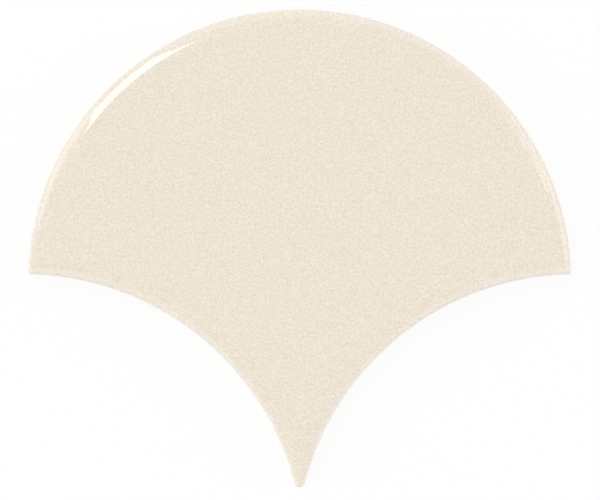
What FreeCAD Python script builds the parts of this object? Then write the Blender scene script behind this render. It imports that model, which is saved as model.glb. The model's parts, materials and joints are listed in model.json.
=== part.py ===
import FreeCAD, Part
import math
import os

# Fish scale wall tile: one dry-pressed, glazed ceramic piece shaped like a fan.
# The head is a round arc. Below it two hollow flanks, struck from the heads of the next
# row, run together into a narrow rounded tail, so that laid tiles leave an even joint.
# The glazed face is flat and rolls over into a soft rim, which mitres at the two wing
# tips and sinks to a ridge along the tail. The back is pressed with shallow square
# pockets that key into the adhesive.
# Frame: the face looks to +Z, the head points to +Y and the tail to -Y. The origin is
# the centre of the head arc, on the plane of the back.

# Outline of the face, in millimetres.
head_radius = 60.0  # half of the tile's width
joint = 1.5  # gap to the neighbours when laid
wing_rise = 1.5  # from the head's centre up to the tops of the flanks
wing_tip_radius = 0.6
tail_tip_radius = 1.25

# Section of the edge, from the face down to the back.
thickness = 8.0
rim_width = 3.6
crown_radius = 7.5  # where the rim leaves the face
shoulder_radius = 1.2  # where the rim meets the side
collar_height = 2.0  # upright band of the side, below the rim
back_inset = 0.3  # how far the side leans in from the collar to the back
back_bevel = 0.25

# Pockets pressed into the back.
pocket_pitch = 11.0
land_width = 2.5  # between two pockets
pocket_depth = 0.6
pocket_slope = 0.4  # how far a pocket's wall leans in over its depth
pocket_corner_radius = 1.0
back_border = 5.0
smallest_pocket_share = 0.6  # of a whole pocket, below which a cut one is left out

# The flanks are struck from the centres of the two heads in the next row.
flank_radius = head_radius + joint
half_pitch = head_radius + joint / 2
row_pitch = flank_radius - wing_rise
head_centre = FreeCAD.Vector(0, 0, 0)
left_flank = FreeCAD.Vector(-half_pitch, -row_pitch, 0)
right_flank = FreeCAD.Vector(half_pitch, -row_pitch, 0)
flank_distance = math.hypot(half_pitch, row_pitch)
upright = FreeCAD.Vector(0, 0, 1)


def arc_edge(centre, radius, start, end):
    """Arc in the plane of a section, between two angles in radians from the X axis."""
    points = [
        centre + FreeCAD.Vector(radius * math.cos(angle), 0, radius * math.sin(angle))
        for angle in (start, (start + end) / 2, end)
    ]
    return Part.Arc(*points).toShape()


def tile_section(reach):
    """Section of the tile from its outline inwards, in the XZ plane, X being the inset."""
    crown_centre = FreeCAD.Vector(rim_width, 0, thickness - crown_radius)
    lean = math.acos((rim_width - shoulder_radius) / (crown_radius - shoulder_radius))
    turn = math.pi - lean
    rim_foot = crown_centre.z + (crown_radius - shoulder_radius) * math.sin(lean)
    shoulder_centre = FreeCAD.Vector(shoulder_radius, 0, rim_foot)
    shoulder = arc_edge(shoulder_centre, shoulder_radius, math.pi, turn)
    crown = arc_edge(crown_centre, crown_radius, turn, math.pi / 2)
    flats = Part.makePolygon([
        FreeCAD.Vector(rim_width, 0, thickness),
        FreeCAD.Vector(rim_width + reach, 0, thickness),
        FreeCAD.Vector(rim_width + reach, 0, 0),
        FreeCAD.Vector(back_inset + back_bevel, 0, 0),
        FreeCAD.Vector(back_inset, 0, back_bevel),
        FreeCAD.Vector(0, 0, rim_foot - collar_height),
        FreeCAD.Vector(0, 0, rim_foot),
    ])
    section = Part.Face(Part.Wire([shoulder, crown] + flats.Edges))
    strip = Part.makeBox(reach, thickness, thickness, FreeCAD.Vector(0, -thickness / 2, 0))
    return section.common(strip)


def pocket_zone_section(reach):
    """Section of the zone that the pockets fill, inside the border of the back."""
    return Part.Face(Part.makePolygon([
        FreeCAD.Vector(back_border - pocket_slope, 0, -pocket_depth),
        FreeCAD.Vector(reach, 0, -pocket_depth),
        FreeCAD.Vector(reach, 0, pocket_depth),
        FreeCAD.Vector(back_border + pocket_slope, 0, pocket_depth),
        FreeCAD.Vector(back_border - pocket_slope, 0, -pocket_depth),
    ]))


def turned_inside(section, radius, centre, start=0, sweep=360):
    """Solid inside an arc of the outline: the section turned about the arc's own axis."""
    facing_axis = section.mirror(FreeCAD.Vector(radius / 2, 0, 0), FreeCAD.Vector(1, 0, 0))
    solid = facing_axis.revolve(head_centre, upright, sweep)
    solid.rotate(head_centre, upright, start)
    return solid.translated(centre)


def turned_outside(section, radius, centre):
    """Ring outside an arc of the outline: the section turned about the arc's own axis."""
    facing_out = section.translated(FreeCAD.Vector(radius, 0, 0))
    return facing_out.revolve(head_centre, upright, 360).translated(centre)


def fan(section_of):
    """Solid of one section along the whole outline: inside the head, outside both flanks."""
    solid = turned_inside(section_of(head_radius), head_radius, head_centre)
    for flank in (left_flank, right_flank):
        solid = solid.common(turned_outside(section_of(flank_distance), flank_radius, flank))
    return solid


def heading(vector):
    """Direction of a vector seen from above, in degrees from the X axis."""
    return math.degrees(math.atan2(vector.y, vector.x))


def rounded_corner(tile, radius, centre, start, end):
    """The tile with its corner between two directions from centre made round."""
    sweep = (heading(end) - heading(start)) % 360
    below = centre - upright * thickness
    sharp_corner = Part.makeCylinder(head_radius, 3 * thickness, below, upright, sweep)
    sharp_corner.rotate(centre, upright, heading(start))
    round_corner = turned_inside(tile_section(radius), radius, centre, heading(start), sweep)
    return tile.cut(sharp_corner).fuse(round_corner)


def with_round_wing_tips(tile):
    """Both wing tips: rounds that touch the head arc from inside and a flank from outside."""
    from_head = head_radius - wing_tip_radius
    from_flank = flank_radius + wing_tip_radius
    cosine = (from_head ** 2 + flank_distance ** 2 - from_flank ** 2) / (2 * from_head * flank_distance)
    angle = math.acos(cosine) - math.atan2(row_pitch, half_pitch)
    right = FreeCAD.Vector(from_head * math.cos(angle), from_head * math.sin(angle), 0)
    left = FreeCAD.Vector(-right.x, right.y, 0)
    tile = rounded_corner(tile, wing_tip_radius, left, left, left_flank - left)
    return rounded_corner(tile, wing_tip_radius, right, right_flank - right, right)


def with_round_tail(tile):
    """The end of the tail: a round that touches both flanks from outside."""
    rise = math.sqrt((flank_radius + tail_tip_radius) ** 2 - half_pitch ** 2)
    centre = FreeCAD.Vector(0, rise - row_pitch, 0)
    return rounded_corner(tile, tail_tip_radius, centre, left_flank - centre, right_flank - centre)


def pocket():
    """One whole pocket about the origin: square, with sloping walls and rounded corners."""
    mouth = (pocket_pitch - land_width) / 2
    wide, narrow = mouth + pocket_slope, mouth - pocket_slope
    low, high = -pocket_depth, pocket_depth
    block = Part.makeWedge(-wide, low, -wide, -narrow, -narrow, wide, high, wide, narrow, narrow)
    block.rotate(head_centre, FreeCAD.Vector(1, 0, 0), 90)
    slanted = [edge for edge in block.Edges if edge.BoundBox.ZLength > pocket_depth]
    return block.makeFillet(pocket_corner_radius, slanted)


def back_pockets():
    """All pockets of the back, cut to its border, with a land through the origin."""
    whole = pocket()
    count = math.ceil(head_radius / pocket_pitch)
    places = [(index + 0.5) * pocket_pitch for index in range(-count, count)]
    grid = [whole.translated(FreeCAD.Vector(x, y, 0)) for x in places for y in places]
    cut_to_border = Part.makeCompound(grid).common(fan(pocket_zone_section))
    smallest = smallest_pocket_share * whole.Volume
    return [solid for solid in cut_to_border.Solids if solid.Volume > smallest]


def fish_scale_tile():
    """The pressed blank with its round tips and its keyed back."""
    blank = with_round_tail(with_round_wing_tips(fan(tile_section)))
    return blank.cut(back_pockets()).removeSplitter()


os.makedirs("parts", exist_ok=True)
fish_scale_tile().exportStep("parts/fish_scale_tile.step")
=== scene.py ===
import json
import math

import bmesh
import bpy
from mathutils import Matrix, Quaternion, Vector, noise


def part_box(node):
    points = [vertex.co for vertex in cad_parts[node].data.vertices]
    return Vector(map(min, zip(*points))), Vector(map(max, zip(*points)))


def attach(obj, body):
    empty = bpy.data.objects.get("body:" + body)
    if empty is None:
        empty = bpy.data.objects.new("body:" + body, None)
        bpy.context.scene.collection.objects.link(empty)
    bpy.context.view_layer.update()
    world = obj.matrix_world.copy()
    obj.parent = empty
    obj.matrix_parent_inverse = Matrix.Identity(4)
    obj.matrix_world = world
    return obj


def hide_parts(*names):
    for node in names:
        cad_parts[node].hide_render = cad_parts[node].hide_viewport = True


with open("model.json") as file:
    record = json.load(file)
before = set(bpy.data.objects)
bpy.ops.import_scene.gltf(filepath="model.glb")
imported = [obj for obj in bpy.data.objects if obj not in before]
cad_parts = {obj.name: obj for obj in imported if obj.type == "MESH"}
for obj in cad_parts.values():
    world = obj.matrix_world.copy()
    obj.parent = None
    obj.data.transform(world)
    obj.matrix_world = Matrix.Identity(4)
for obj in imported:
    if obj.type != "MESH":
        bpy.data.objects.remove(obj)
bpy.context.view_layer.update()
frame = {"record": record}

# The tile: white clay dust, pressed in a steel die to a fan shape, glazed on its face and fired as one
# piece. The two hollow flanks are struck from the heads of the next row, so that laid tiles leave an
# even joint, and they run together into a narrow tail. The whole back is bedded in adhesive.
mm = 0.001
tile_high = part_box("fish_scale_tile")[1]
mounts = {mount["name"]: mount for mount in frame["record"]["mounts"]}
head_radius = tile_high.y
flank_radius = mounts["right_flank"]["dims"]["r_mm"] * mm
thickness = tile_high.z
wing_rise = 1.5 * mm  # from the head's centre up to the tops of the flanks
wing_tip_radius = 0.6 * mm
tail_tip_radius = 1.25 * mm
rim_width = 3.6 * mm
crown_radius = 7.5 * mm  # where the rim leaves the face
shoulder_radius = 1.2 * mm  # where the rim meets the side
ridge_softness = 0.35  # radius of the rim's ridges at the three tips, for each unit of depth
back_inset = 0.3 * mm  # how far the bare side leans in towards the back
back_edge_radius = 0.25 * mm
back_border = 5.0 * mm
glaze_edge = 4.5 * mm  # height at which the glaze stops on the side
glaze_coat = 0.14 * mm

half_pitch = (head_radius + flank_radius) / 2
row_pitch = flank_radius - wing_rise
flank_distance = math.hypot(half_pitch, row_pitch)
head_centre = Vector((0, 0))
flank_centre = Vector((half_pitch, -row_pitch))
# Depth at which the outline, set further and further in, closes to a point.
face_depth = (
    ((head_radius + row_pitch) ** 2 + half_pitch ** 2 - flank_radius ** 2)
    / (2 * (head_radius + row_pitch + flank_radius))
)

# How many steps divide each arc of the outline and of the edge's section.
head_steps = 90
tip_steps = 6
flank_steps = 84
small_round_steps = 4
shoulder_steps = 9
crown_steps = 14
face_rings = 12
face_crowding = 1.4  # draws the face's rings towards the rim


def arc(centre, radius, start, end, steps, crowding):
    """Points of an arc between two directions, without its last, crowded towards chosen ends."""
    first = math.atan2(start.y, start.x)
    sweep = (math.atan2(end.y, end.x) - first + math.pi) % (2 * math.pi) - math.pi
    angles = [first + sweep * crowding(step / steps) for step in range(steps)]
    return [centre + radius * Vector((math.cos(angle), math.sin(angle))) for angle in angles]


def evenly(share):
    """Steps of equal length."""
    return share


def towards_end(share):
    """Steps that shorten towards the end of an arc."""
    return math.sin(share * math.pi / 2)


def towards_both_ends(share):
    """Steps that shorten towards both ends of an arc."""
    return (1 - math.cos(share * math.pi)) / 2


def tip_rounding(tip_radius, inset):
    """Radius of a tip at an inset: below the round outline runs a soft ridge, which the face ends."""
    over_face = (face_depth - inset) / (face_depth - rim_width)
    ridge = ridge_softness * min(inset, rim_width * over_face)
    return max(tip_radius - inset, ridge)


def half_outline(inset):
    """The right half of the outline, set in from the edge, from the top of the head to the tail."""
    wing_radius = tip_rounding(wing_tip_radius, inset)
    tail_radius = tip_rounding(tail_tip_radius, inset)
    from_head = head_radius - inset - wing_radius
    from_flank = flank_radius + inset + wing_radius
    cosine = (from_head ** 2 + flank_distance ** 2 - from_flank ** 2) / (2 * from_head * flank_distance)
    angle = math.acos(cosine) - math.atan2(row_pitch, half_pitch)
    wing = from_head * Vector((math.cos(angle), math.sin(angle)))
    rise = math.sqrt((flank_radius + inset + tail_radius) ** 2 - half_pitch ** 2)
    tail = Vector((0, rise - row_pitch))
    up, down = Vector((0, 1)), Vector((0, -1))
    to_flank = flank_centre - wing
    to_tail = tail - flank_centre
    points = arc(head_centre, head_radius - inset, up, wing, head_steps, towards_end)
    points += arc(wing, wing_radius, wing, to_flank, tip_steps, evenly)
    points += arc(flank_centre, flank_radius + inset, -to_flank, to_tail, flank_steps, towards_both_ends)
    points += arc(tail, tail_radius, -to_tail, down, tip_steps, evenly)
    points.append(tail + tail_radius * down)
    return points


def section_arc(inset, height, radius, start, end, steps):
    """Insets and heights along an arc of the edge's section, between two angles in radians."""
    angles = [start + (end - start) * step / steps for step in range(steps + 1)]
    return [(inset + radius * math.cos(angle), height + radius * math.sin(angle)) for angle in angles]


# The section of the bare clay runs from the border of the back, round its edge and up the leaning side.
# The section of the glaze starts with its rounded lower edge and goes over the rim to the face's middle.
lean = math.acos((rim_width - shoulder_radius) / (crown_radius - shoulder_radius))
rim_foot = thickness - crown_radius + (crown_radius - shoulder_radius) * math.sin(lean)
to_crown = math.pi - lean
facing_down, facing_out = 1.5 * math.pi, math.pi
clay_section = [(back_border, 0)]
clay_section += section_arc(
    back_inset + back_edge_radius, back_edge_radius, back_edge_radius,
    facing_down, facing_out, small_round_steps,
)
side_rise = glaze_edge - back_edge_radius
clay_section += [
    (back_inset + share * (glaze_coat - back_inset), back_edge_radius + share * side_rise)
    for share in (0.25, 0.5, 0.75, 1)
]
glaze_section = section_arc(
    glaze_coat, glaze_edge + glaze_coat, glaze_coat, facing_down, facing_out, small_round_steps
)[1:]
glaze_section += section_arc(
    shoulder_radius, rim_foot, shoulder_radius, facing_out, to_crown, shoulder_steps
)
glaze_section += section_arc(
    rim_width, thickness - crown_radius, crown_radius, to_crown, math.pi / 2, crown_steps
)[1:]
glaze_section += [
    (rim_width + (face_depth - rim_width) * (ring / face_rings) ** face_crowding, thickness)
    for ring in range(1, face_rings + 1)
]

# The right half grows ring by ring from the border of the back, and is then mirrored.
glaze_slot, clay_slot = 0, 1
seam_reach = 0.0001 * mm
same_point = 0.002 * mm  # nearer points, as those in the middle of the face, are one
tile_mesh = bmesh.new()
place = tile_mesh.verts.layers.int.new("place")
border_inset, border_height = clay_section[0]
border = [tile_mesh.verts.new((*point, border_height)) for point in half_outline(border_inset)]
for index, vert in enumerate(border):
    vert[place] = index
ring_edges = [tile_mesh.edges.new(pair) for pair in zip(border, border[1:])]
for slot, section in ((clay_slot, clay_section[1:]), (glaze_slot, glaze_section)):
    for inset, height in section:
        points = half_outline(inset)
        grown = bmesh.ops.extrude_edge_only(tile_mesh, edges=ring_edges)["geom"]
        for vert in (item for item in grown if isinstance(item, bmesh.types.BMVert)):
            vert.co = (*points[vert[place]], height)
        for face in (item for item in grown if isinstance(item, bmesh.types.BMFace)):
            face.material_index = slot
        ring_edges = [item for item in grown if isinstance(item, bmesh.types.BMEdge)]
right_half = tile_mesh.verts[:] + tile_mesh.edges[:] + tile_mesh.faces[:]
bmesh.ops.mirror(tile_mesh, geom=right_half, axis="X", merge_dist=seam_reach)
bmesh.ops.remove_doubles(tile_mesh, verts=tile_mesh.verts, dist=same_point)
tile_mesh.verts.layers.int.remove(place)

# The glaze ran down before it set, so its lower edge wanders.
run_length = 14.0 * mm
run_height = 0.9 * mm
for vert in tile_mesh.verts:
    height = vert.co.z
    share = min((height - back_edge_radius) / side_rise, (rim_foot - height) / (rim_foot - glaze_edge))
    if share > 0:
        vert.co.z += share * run_height * noise.noise(Vector((vert.co.x, vert.co.y, 0)) / run_length)

# The back is closed, divided along the mouths of its square pockets, and the pockets are pressed in.
pocket_pitch = 11.0 * mm
land_width = 2.5 * mm  # between two pockets
pocket_corner_radius = 1.0 * mm
shortest_side = 1.1 * pocket_corner_radius  # a corner with a shorter side stays sharp
# Steps of a pocket's wall from lip to floor: how far each leans in, and how deep it goes.
pocket_wall = ((0.12 * mm, 0.1 * mm), (0.16 * mm, 0.4 * mm), (0.12 * mm, 0.1 * mm))
on_cut = 0.02 * mm  # a point this near to a cut lies on it
on_back = 0.01 * mm  # a face this near to the plane of the back lies in it
beside_cut = 0.3 * mm  # a point of the border this near to the end of a cut is drawn into it
pocket_mouth = pocket_pitch - land_width
smallest_pocket = 0.6 * pocket_mouth ** 2  # a pocket that the border leaves smaller is left out
border_edges = [edge for edge in tile_mesh.edges if edge.is_boundary]
back = bmesh.ops.edgeloop_fill(tile_mesh, edges=border_edges, mat_nr=clay_slot)["faces"]
bmesh.ops.recalc_face_normals(tile_mesh, faces=tile_mesh.faces)
pocket_rows = math.ceil(head_radius / pocket_pitch)
for across in (Vector((1, 0, 0)), Vector((0, 1, 0))):
    for row in range(-pocket_rows, pocket_rows):
        for side in (-0.5, 0.5):
            line = (row + 0.5) * pocket_pitch + side * pocket_mouth
            edges = dict.fromkeys(edge for face in back for edge in face.edges)
            verts = dict.fromkeys(vert for face in back for vert in face.verts)
            cut = bmesh.ops.bisect_plane(
                tile_mesh, geom=[*back, *edges, *verts], dist=on_cut,
                plane_co=line * across, plane_no=across,
            )
            back = [item for item in cut["geom"] if isinstance(item, bmesh.types.BMFace)]


def is_pocket(face):
    """Whether a cell of the back is the mouth of a pocket, and isn't too small for one."""
    middle = face.calc_center_median()
    off_centre = max(abs(middle.x / pocket_pitch % 1 - 0.5), abs(middle.y / pocket_pitch % 1 - 0.5))
    in_mouth = off_centre * pocket_pitch < pocket_mouth / 2 and abs(middle.z) < on_back
    return in_mouth and face.calc_area() > smallest_pocket


cells = set(back)
back_verts = [vert for vert in tile_mesh.verts if not cells.isdisjoint(vert.link_faces)]
inner_verts = [vert for vert in back_verts if cells.issuperset(vert.link_faces)]
border_verts = [vert for vert in back_verts if vert not in inner_verts]
corners = [
    vert for vert in inner_verts
    if min(edge.calc_length() for edge in vert.link_edges) > shortest_side
]
cut_ends = [
    vert for vert in border_verts if any(cells.issuperset(edge.link_faces) for edge in vert.link_edges)
]
beside_cut_ends = {
    edge.other_vert(vert): vert for vert in cut_ends for edge in vert.link_edges
    if edge.calc_length() < beside_cut and edge.other_vert(vert) not in cut_ends + inner_verts
}
bmesh.ops.weld_verts(tile_mesh, targetmap=beside_cut_ends)
bmesh.ops.bevel(
    tile_mesh, geom=corners, offset=pocket_corner_radius,
    affect="VERTICES", segments=small_round_steps, profile=0.5, material=-1,
)
pockets = [face for face in tile_mesh.faces if is_pocket(face)]
for slope, depth in pocket_wall:
    bmesh.ops.inset_individual(tile_mesh, faces=pockets, thickness=slope, depth=-depth)

sharp_angle = math.radians(35)  # keeps the lower edge of the glaze crisp
tile = bpy.data.objects.new("glazed_tile", bpy.data.meshes.new("glazed_tile"))
bpy.context.scene.collection.objects.link(tile)
tile_mesh.to_mesh(tile.data)
tile_mesh.free()
tile.data.shade_smooth()
tile.data.set_sharp_from_angle(angle=sharp_angle)


def linear(hex_colour):
    """An sRGB hex colour as linear RGBA."""
    shares = [int(hex_colour[start:start + 2], 16) / 255 for start in (1, 3, 5)]
    return (
        *[share / 12.92 if share <= 0.04045 else ((share + 0.055) / 1.055) ** 2.4 for share in shares], 1
    )


def add_node(tree, kind, values, links, **settings):
    """Add a node with its settings, its inputs' values and its links, each from a node's output."""
    node = tree.nodes.new(kind)
    for name, setting in settings.items():
        setattr(node, name, setting)
    for name, value in values.items():
        node.inputs[name].default_value = value
    for name, (source, output) in links.items():
        tree.links.new(source.outputs[output], node.inputs[name])
    return node


# A Mix node's sockets share their names, so those of its colours go by number.
mix_share, mix_first, mix_second, mix_result = 0, 6, 7, 2


def new_material(name):
    """A material with an empty node tree."""
    material = bpy.data.materials.new(name)
    material.use_nodes = True
    material.node_tree.nodes.clear()
    return material


# Cream gloss glaze, a hard glassy coat clouded by fine opaque grains: the face is an even cream with a
# fine speckle. Over the rim's shoulder the colour turns paler and less yellow: partly the thin coat over
# the white clay, partly a painted reflection of the white room. It is cream again on the side, where the
# coat gathered. It mirrors sharply, with the faint waviness of a coat that flowed in the kiln.
glaze = new_material("cream_gloss_glaze")
speckle_size = 0.45 * mm
speckle_strength = 0.17
wave_size = 9.0 * mm
wave_depth = 0.02 * mm
# The glaze's tone by the depth below the face. The paler, bluer tones at 1.1 to 1.6 mm lie over the rim's
# shoulder: partly the thin coat over white clay, partly a painted reflection of the white room.
tones_and_painted_reflection_by_depth = {
    0.15 * mm: "#EFE5D4",
    0.6 * mm: "#F0E6D7",
    1.1 * mm: "#F3ECE2",
    1.6 * mm: "#F3ECE2",
    2.3 * mm: "#F0E6D6",
}
deepest_tone = max(tones_and_painted_reflection_by_depth)
glaze_place = add_node(glaze.node_tree, "ShaderNodeTexCoord", {}, {})
glaze_height = add_node(glaze.node_tree, "ShaderNodeSeparateXYZ", {}, {0: (glaze_place, "Object")})
glaze_depth = add_node(
    glaze.node_tree, "ShaderNodeMapRange",
    {"From Min": thickness, "From Max": thickness - deepest_tone},
    {"Value": (glaze_height, "Z")},
)
glaze_tone_and_painted_reflection = add_node(glaze.node_tree, "ShaderNodeValToRGB", {}, {"Fac": (glaze_depth, "Result")})
# These tones take the place of the two that a ramp starts with.
ramp_stops = glaze_tone_and_painted_reflection.color_ramp.elements
ramp_stops.remove(ramp_stops[1])
for depth, tone in tones_and_painted_reflection_by_depth.items():
    ramp_stops.new(depth / deepest_tone).color = linear(tone)
ramp_stops.remove(ramp_stops[0])
speckle = add_node(
    glaze.node_tree, "ShaderNodeTexNoise",
    {"Scale": 1 / speckle_size, "Detail": 1.0},
    {"Vector": (glaze_place, "Object")},
)
glaze_colour = add_node(
    glaze.node_tree, "ShaderNodeMix",
    {mix_share: speckle_strength},
    {mix_first: (glaze_tone_and_painted_reflection, "Color"), mix_second: (speckle, "Fac")},
    data_type="RGBA", blend_type="LINEAR_LIGHT",
)
waviness = add_node(
    glaze.node_tree, "ShaderNodeTexNoise",
    {"Scale": 1 / wave_size, "Detail": 2.0},
    {"Vector": (glaze_place, "Object")},
)
glaze_bump = add_node(
    glaze.node_tree, "ShaderNodeBump",
    {"Strength": 1.0, "Distance": wave_depth},
    {"Height": (waviness, "Fac")},
)
glaze_roughness = add_node(
    glaze.node_tree, "ShaderNodeMapRange",
    {"From Min": 0.3, "From Max": 0.7, "To Min": 0.045, "To Max": 0.075},
    {"Value": (waviness, "Fac")},
)
glaze_shader = add_node(
    glaze.node_tree, "ShaderNodeBsdfPrincipled",
    {"IOR": 1.55},
    {
        "Base Color": (glaze_colour, mix_result),
        "Roughness": (glaze_roughness, "Result"),
        "Normal": (glaze_bump, "Normal"),
    },
)
add_node(glaze.node_tree, "ShaderNodeOutputMaterial", {}, {"Surface": (glaze_shader, "BSDF")})

# White clay biscuit, pressed from dust and fired once: chalky and matt, with the grit of the dust, drawn
# coarser than it is so that it shows, and faint clouds where the fire left it warmer.
clay = new_material("white_clay_biscuit")
grit_size = 0.35 * mm
grit_depth = 0.05 * mm
grit_strength = 0.35
cloud_size = 8.0 * mm
clay_place = add_node(clay.node_tree, "ShaderNodeTexCoord", {}, {})
clouds = add_node(
    clay.node_tree, "ShaderNodeTexNoise",
    {"Scale": 1 / cloud_size, "Detail": 3.0},
    {"Vector": (clay_place, "Object")},
)
grit = add_node(
    clay.node_tree, "ShaderNodeTexNoise",
    {"Scale": 1 / grit_size, "Detail": 2.0},
    {"Vector": (clay_place, "Object")},
)
cloud_colour = add_node(
    clay.node_tree, "ShaderNodeMix",
    {mix_first: linear("#DCD1BF"), mix_second: linear("#F0EADF")},
    {mix_share: (clouds, "Fac")},
    data_type="RGBA",
)
clay_colour = add_node(
    clay.node_tree, "ShaderNodeMix",
    {mix_share: grit_strength},
    {mix_first: (cloud_colour, mix_result), mix_second: (grit, "Fac")},
    data_type="RGBA", blend_type="SOFT_LIGHT",
)
clay_bump = add_node(
    clay.node_tree, "ShaderNodeBump",
    {"Strength": 1.0, "Distance": grit_depth},
    {"Height": (grit, "Fac")},
)
clay_shader = add_node(
    clay.node_tree, "ShaderNodeBsdfPrincipled",
    {"Roughness": 0.9, "IOR": 1.5},
    {"Base Color": (clay_colour, mix_result), "Normal": (clay_bump, "Normal")},
)
add_node(clay.node_tree, "ShaderNodeOutputMaterial", {}, {"Surface": (clay_shader, "BSDF")})

tile.data.materials.append(glaze)
tile.data.materials.append(clay)
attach(tile, "root")
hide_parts("fish_scale_tile")

# The studio: a sheet of white paper as the floor, in a white room. The camera and mirroring surfaces see
# both as plain white, and the paper keeps a faint shadow of the tile. The light that the room gives the
# tile is stronger from the left and right.
floor_half = 3.0
floor_gap = 0.05 * mm  # below the tile's back
paper_glow = 0.88  # share of plain white in the paper, the rest of which takes light and shadow
even_light = 0.6
side_light = 1.0
floor_mesh = bmesh.new()
bmesh.ops.create_grid(floor_mesh, x_segments=1, y_segments=1, size=floor_half)
bmesh.ops.translate(floor_mesh, verts=floor_mesh.verts, vec=(0, 0, -floor_gap))
floor = bpy.data.objects.new("studio_floor", bpy.data.meshes.new("studio_floor"))
bpy.context.scene.collection.objects.link(floor)
floor_mesh.to_mesh(floor.data)
floor_mesh.free()


def seen_directly(tree, strength):
    """A factor that is strength for camera, glossy and transmission rays and 0 for the rest."""
    path = add_node(tree, "ShaderNodeLightPath", {}, {})
    seen = (path, "Is Camera Ray")
    for ray in ("Is Glossy Ray", "Is Transmission Ray"):
        seen = (add_node(tree, "ShaderNodeMath", {}, {0: seen, 1: (path, ray)}, operation="MAXIMUM"), 0)
    return (add_node(tree, "ShaderNodeMath", {1: strength}, {0: seen}, operation="MULTIPLY"), 0)


white = linear("#FFFFFF")
paper = new_material("white_paper_floor")
paper_shade = add_node(paper.node_tree, "ShaderNodeBsdfDiffuse", {"Color": white}, {})
paper_white = add_node(paper.node_tree, "ShaderNodeEmission", {"Color": white, "Strength": 1.0}, {})
paper_mix = add_node(
    paper.node_tree, "ShaderNodeMixShader", {},
    {0: seen_directly(paper.node_tree, paper_glow), 1: (paper_shade, 0), 2: (paper_white, 0)},
)
add_node(paper.node_tree, "ShaderNodeOutputMaterial", {}, {"Surface": (paper_mix, 0)})
floor.data.materials.append(paper)

room = bpy.data.worlds.new("white_room")
bpy.context.scene.world = room
room.use_nodes = True
room.node_tree.nodes.clear()
room_place = add_node(room.node_tree, "ShaderNodeTexCoord", {}, {})
room_sides = add_node(room.node_tree, "ShaderNodeSeparateXYZ", {}, {0: (room_place, "Generated")})
side_share = add_node(
    room.node_tree, "ShaderNodeMath", {}, {0: (room_sides, "X"), 1: (room_sides, "X")}, operation="MULTIPLY"
)
room_strength = add_node(
    room.node_tree, "ShaderNodeMath",
    {1: side_light, 2: even_light}, {0: (side_share, 0)}, operation="MULTIPLY_ADD",
)
room_light = add_node(
    room.node_tree, "ShaderNodeBackground", {"Color": white}, {"Strength": (room_strength, 0)}
)
room_walls = add_node(room.node_tree, "ShaderNodeBackground", {"Color": white, "Strength": 1.0}, {})
room_mix = add_node(
    room.node_tree, "ShaderNodeMixShader", {},
    {0: seen_directly(room.node_tree, 1.0), 1: (room_light, 0), 2: (room_walls, 0)},
)
add_node(room.node_tree, "ShaderNodeOutputWorld", {}, {"Surface": (room_mix, 0)})

lamp_distance = 4.0


def softbox(name, azimuth, polar, across, along, radiance, shape="ELLIPSE", roll=0):
    """A lamp aimed at the tile from its place; the place and the half-angles it fills are in degrees."""
    lamp = bpy.data.lights.new(name, "AREA")
    lamp.shape = shape
    lamp.size = 2 * lamp_distance * math.tan(math.radians(across))
    lamp.size_y = 2 * lamp_distance * math.tan(math.radians(along))
    filled = math.pi / 4 if shape == "ELLIPSE" else 1
    lamp.energy = radiance * math.pi * filled * lamp.size * lamp.size_y
    box = bpy.data.objects.new(name, lamp)
    bpy.context.scene.collection.objects.link(box)
    turn = math.radians(azimuth)
    tip = math.radians(polar)
    towards = Vector((math.sin(tip) * math.cos(turn), math.sin(tip) * math.sin(turn), math.cos(tip)))
    box.location = lamp_distance * towards
    aim = towards.to_track_quat("Z", "Y")
    box.rotation_euler = (aim @ Quaternion((0, 0, 1), math.radians(roll))).to_euler()
    return box


# The key softbox shows as the bright crescent on the rim. The cards and fills are pale screens, which
# light nothing and only show as faint reflections in the glaze.
softbox(
    "key_softbox", azimuth=131.4, polar=30.5, across=6.1, along=11, radiance=5.8, shape="RECTANGLE", roll=5
)
screens = (
    softbox("left_card", azimuth=155, polar=43, across=10, along=9, radiance=1.3),
    softbox("right_card", azimuth=16, polar=44, across=20, along=7, radiance=1.2),
    softbox("far_right_card", azimuth=28, polar=31, across=6, along=7, radiance=1.2),
    softbox("front_fill", azimuth=-90, polar=47, across=58, along=17, radiance=0.72),
    softbox("back_fill", azimuth=90, polar=50, across=54, along=19, radiance=0.55),
    softbox("left_fill", azimuth=156, polar=54, across=16, along=12, radiance=0.85),
    softbox("right_fill", azimuth=15, polar=54, across=20, along=12, radiance=0.85),
)
for screen in screens:
    screen.visible_diffuse = False

# The camera looks straight down on the face, from far enough to keep the outline undistorted.
view_width = 132.4 * mm  # at the height of the rim's foot
view_centre = (0.07 * mm, 6.89 * mm)
camera_data = bpy.data.cameras.new("camera")
camera_data.lens = 200
camera = bpy.data.objects.new("camera", camera_data)
camera_height = rim_foot + view_width * camera_data.lens / camera_data.sensor_width
camera.location = (*view_centre, camera_height)
bpy.context.scene.collection.objects.link(camera)
bpy.context.scene.camera = camera
bpy.context.scene.view_settings.view_transform = "Standard"
